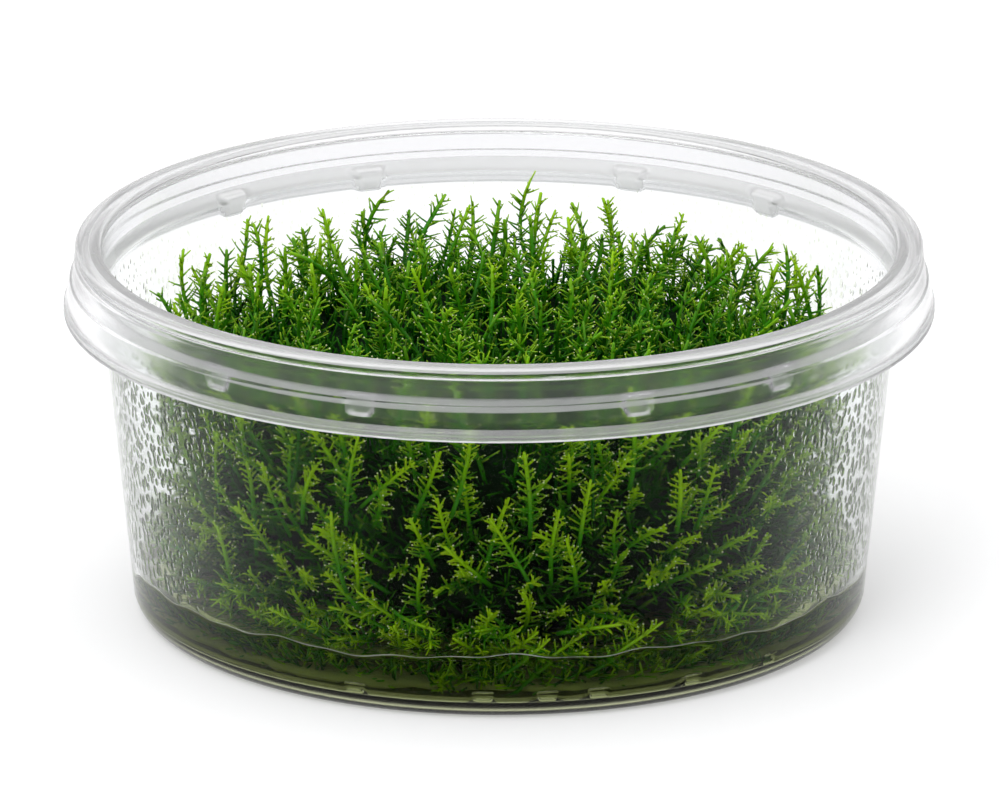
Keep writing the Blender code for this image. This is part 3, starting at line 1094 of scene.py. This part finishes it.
FLOOR_HALF = 2.5
LIGHT_AIM = Vector((0.0, 0.0, 0.02))
CAMERA_AIM = Vector((0.1 * MM, 0.0, 25.0 * MM))


def add_floor(values):
    """The plain pale floor that the cup stands on."""
    corners = [(x * FLOOR_HALF, y * FLOOR_HALF, 0.0) for x, y in ((-1, -1), (1, -1), (1, 1), (-1, 1))]
    mesh = bpy.data.meshes.new("floor")
    mesh.from_pydata(corners, [], [(0, 1, 2, 3)])
    mesh.materials.append(stage_floor(tuple(values.floor), values.glow))
    floor = bpy.data.objects.new("floor", mesh)
    bpy.context.scene.collection.objects.link(floor)


def add_softbox(name, size, power, place):
    """A round softbox of one size in metres, aimed at the cup."""
    light = bpy.data.lights.new(name, "AREA")
    light.shape, light.size, light.energy = "DISK", size, power
    lamp = bpy.data.objects.new(name, light)
    lamp.location = place
    lamp.rotation_euler = (LIGHT_AIM - lamp.location).to_track_quat("-Z", "Y").to_euler()
    bpy.context.scene.collection.objects.link(lamp)


def set_world(strength):
    """Soft surrounding light, a little dimmer at the height of the horizon than above."""
    world = bpy.data.worlds.new("studio")
    world.use_nodes = True
    tree = world.node_tree
    way = add_node(tree, "ShaderNodeTexCoord").outputs["Generated"]
    parts = add_node(tree, "ShaderNodeSeparateXYZ", links={"Vector": way})
    ramp = add_node(tree, "ShaderNodeValToRGB", links={"Fac": parts.outputs["Z"]})
    stops = ramp.color_ramp.elements
    stops[0].color, stops[1].color = (0.95, 0.95, 0.96, 1.0), (1.0, 1.0, 1.0, 1.0)
    for position, grey in ((0.35, 0.92), (0.6, 0.9)):
        stops.new(position).color = (grey, grey, grey, 1.0)
    background = tree.nodes["Background"]
    background.inputs["Strength"].default_value = strength
    tree.links.new(ramp.outputs["Color"], background.inputs["Color"])
    bpy.context.scene.world = world


def add_camera(values):
    """A long lens in front of the cup, tilted down at its middle."""
    camera = bpy.data.cameras.new("camera")
    camera.lens, camera.sensor_width = values.lens, 36.0
    camera.clip_start, camera.clip_end = 0.05, 20.0
    tilt = values.camera_tilt
    back = Vector((0, -math.cos(tilt), math.sin(tilt)))
    eye = bpy.data.objects.new("camera", camera)
    eye.location = CAMERA_AIM + values.camera_distance * back
    eye.rotation_euler = (math.pi / 2 - tilt, 0.0, 0.0)
    bpy.context.scene.collection.objects.link(eye)
    bpy.context.scene.camera = eye


# ---------------------------------------------------------------- operators


class MOSSCUP_OT_cup(bpy.types.Operator):
    """Moulds the clear cup with its rim, lugs, pads and foot"""

    bl_idname = "mosscup.cup"
    bl_label = "Cup"

    def execute(self, context):
        values = context.scene.moss_cup
        mesh = cup_mesh(values.shell / MM, values.lug_depth / MM, values.pad_depth / MM)
        thin, thick = tuple(values.tint), tuple(values.thick_tint)
        wall, *others = (moulded_plastic(*finish) for finish in (
            ("moulded_clear_polypropylene", thin, 0.03, 0.0, 0.01),
            ("moulded_thick_polypropylene", thick, 0.12, 0.0, 0.4),
            ("moulded_satin_polypropylene", thick, 0.22, 0.31, 0.6),
            ("moulded_matt_polypropylene", thick, 0.2, 0.15, 0.4),
            # The foot's finish has a darker olive tint: painted shade under the clump.
            ("moulded_polypropylene_painted_shade", tuple(values.foot_shade_tint), 0.1, 0.0, 0.3),
        ))
        add_piece("cup_shell", mesh, wall, "clear_plastic", "cup")
        for material in others:
            mesh.materials.append(material)
        return {"FINISHED"}


class MOSSCUP_OT_gel(bpy.types.Operator):
    """Pours the gel into the bottom of the cup"""

    bl_idname = "mosscup.gel"
    bl_label = "Gel"

    def execute(self, context):
        values = context.scene.moss_gel
        mesh = gel_mesh(values, context.scene.moss_cup.shell / MM)
        add_piece("gel_layer", mesh, set_gel(tuple(values.tint)), "gel", "culture_gel")
        mesh = shore_mesh(values, context.scene.moss_cup.shell / MM)
        add_piece("gel_shore", mesh, gel_skin_and_highlight(), "gel", "culture_gel")
        return {"FINISHED"}


class MOSSCUP_OT_moss(bpy.types.Operator):
    """Grows the clump: crown, flank and sunken shoots, and the old stems under them"""

    bl_idname = "mosscup.moss"
    bl_label = "Moss"

    def execute(self, context):
        values = context.scene.moss_growth
        rng = np.random.default_rng(MOSS_SEED)
        outer = {"sink": 0.0, "longest": 12.5, "rings": 8}
        crown, crown_stand = crown_axes(rng, values.crown_shoots, shortest=10.0, **outer)
        flank, flank_stand = flank_axes(rng, values.flank_shoots, shortest=9.5, **outer)
        crown_ahead, flank_ahead = crown[:, -1, 1] < 0, flank[:, -1, 1] < 0
        share = values.shaded_shoots // 9
        shaded = {"shortest": 7.5, "longest": 9.5, "rings": 5}
        deep, deep_stand = flank_axes(rng, 3 * share, sink=4.6, **shaded)
        near, near_stand = flank_axes(rng, 3 * share, sink=2.8, **shaded)
        material = moss_leaf(tuple(values.young), tuple(values.old))
        full = dict(FULL_SHOOT, leaf=values.leaf_length / MM)
        upright = dict(full, spread=0.7, leaflets=1, wet=0.35, branches=13, leaves=6)
        upright["leaf"] *= 1.4
        bushy = dict(upright, stem=0.33, leaves=9, branches=18, spread=1.0)
        dim = dict(SHADED_SHOOT, leaf=values.leaf_length / MM)
        # Each group's name, its stems' paths, how far each stem stands out, plan and brightness. The
        # brightness is painted light and shade: low for the shaded groups under the others, higher for
        # the backlit crown behind.
        groups = (
            ("moss_crown_front", crown[crown_ahead], crown_stand[crown_ahead], upright, 0.59),
            ("moss_crown_back", crown[~crown_ahead], crown_stand[~crown_ahead], bushy, 0.74),
            ("moss_flank_front", flank[flank_ahead], flank_stand[flank_ahead], full, 0.96),
            ("moss_flank_back", flank[~flank_ahead], flank_stand[~flank_ahead], full, 0.96),
            ("moss_sunken_shoots", *sunken_axes(rng, values.sunken_shoots), dim, 0.95),
            ("moss_shaded_crown", *crown_axes(rng, 2 * share, 4.2, 8.0, 10.0, 5), dim, 0.24),
            ("moss_shaded_flank", np.concatenate([deep, near]),
             np.concatenate([deep_stand, near_stand]), dim, 0.38),
        )
        wet_tips = []
        for name, axes, stand, plan, brightness in groups:
            growth = Growth()
            # Painted light: dim shoots at the back are brightened as if lit from behind, and shoots that
            # stand out are brightened as if better lit; the random scatter is their own tone.
            behind = 0.3 * smoothstep(10.0, 25.0, axes[:, -1, 1]) if plan is dim else 0
            tone_and_painted_light = brightness + behind + 0.12 * stand + rng.normal(0, 0.06, len(axes))
            grow_shoots(growth, rng, axes, np.clip(tone_and_painted_light, 0.15, 1.12), plan)
            add_piece(name, growth.mesh(name), material, "moss", "moss_clump")
            wet_tips.extend(growth.wet_tips)
        add_piece("leaf_dew", bead_mesh(rng, np.concatenate(wet_tips)), water_bead_painted_glint(), "gel")
        growth = Growth()
        inner_leaves(growth, rng, values.inner_leaves)
        leaves = growth.mesh("moss_inner_leaves")
        add_piece("moss_inner_leaves", leaves, material, "moss", "moss_clump")
        add_piece("moss_old_growth", core_mesh(rng), shaded_old_growth(), "moss", "moss_clump")
        return {"FINISHED"}


class MOSSCUP_OT_dew(bpy.types.Operator):
    """Settles condensation drops on the inside of the wall"""

    bl_idname = "mosscup.dew"
    bl_label = "Condensation"

    def execute(self, context):
        mesh = dew_mesh(context.scene.moss_dew, context.scene.moss_cup.shell / MM)
        add_piece("condensation", mesh, condensed_water(), "gel")
        return {"FINISHED"}


class MOSSCUP_OT_stage(bpy.types.Operator):
    """Sets the floor, the lights and the camera"""

    bl_idname = "mosscup.stage"
    bl_label = "Stage"

    def execute(self, context):
        values = context.scene.moss_stage
        add_floor(values)
        add_softbox("softbox", 1.0, values.softbox, (-0.1, 0.1, 1.2))
        add_softbox("key_light", 0.6, values.key, (-0.35, -0.9, 0.85))
        set_world(values.sky)
        add_camera(values)
        context.scene.view_settings.view_transform = "Standard"
        context.scene.cycles.max_bounces = 24
        context.scene.cycles.transmission_bounces = 24
        return {"FINISHED"}


class MOSSCUP_PT_panel(bpy.types.Panel):
    """Lists the cup's pieces, each with its settings and its button"""

    bl_idname = "MOSSCUP_PT_panel"
    bl_label = "Moss Cup"
    bl_space_type = "VIEW_3D"
    bl_region_type = "UI"
    bl_category = "Moss Cup"

    def draw(self, context):
        for operator, group in STEPS:
            box = self.layout.box()
            for label in getattr(context.scene, group).bl_rna.properties.keys():
                if label not in ("rna_type", "name"):
                    box.prop(getattr(context.scene, group), label)
            box.operator(operator)


STEPS = (
    ("mosscup.cup", "moss_cup"),
    ("mosscup.gel", "moss_gel"),
    ("mosscup.moss", "moss_growth"),
    ("mosscup.dew", "moss_dew"),
    ("mosscup.stage", "moss_stage"),
)
GROUPS = {
    "moss_cup": CupSettings,
    "moss_gel": GelSettings,
    "moss_growth": MossSettings,
    "moss_dew": DewSettings,
    "moss_stage": StageSettings,
}
CLASSES = (
    *GROUPS.values(),
    MOSSCUP_OT_cup,
    MOSSCUP_OT_gel,
    MOSSCUP_OT_moss,
    MOSSCUP_OT_dew,
    MOSSCUP_OT_stage,
    MOSSCUP_PT_panel,
)


def register():
    for item in CLASSES:
        bpy.utils.register_class(item)
    for name, group in GROUPS.items():
        setattr(bpy.types.Scene, name, PointerProperty(type=group))


def unregister():
    for name in GROUPS:
        delattr(bpy.types.Scene, name)
    for item in reversed(CLASSES):
        bpy.utils.unregister_class(item)


def main():
    register()
    for operator, _ in STEPS:
        family, action = operator.split(".")
        getattr(getattr(bpy.ops, family), action)()


if __name__ == "__main__":
    main()
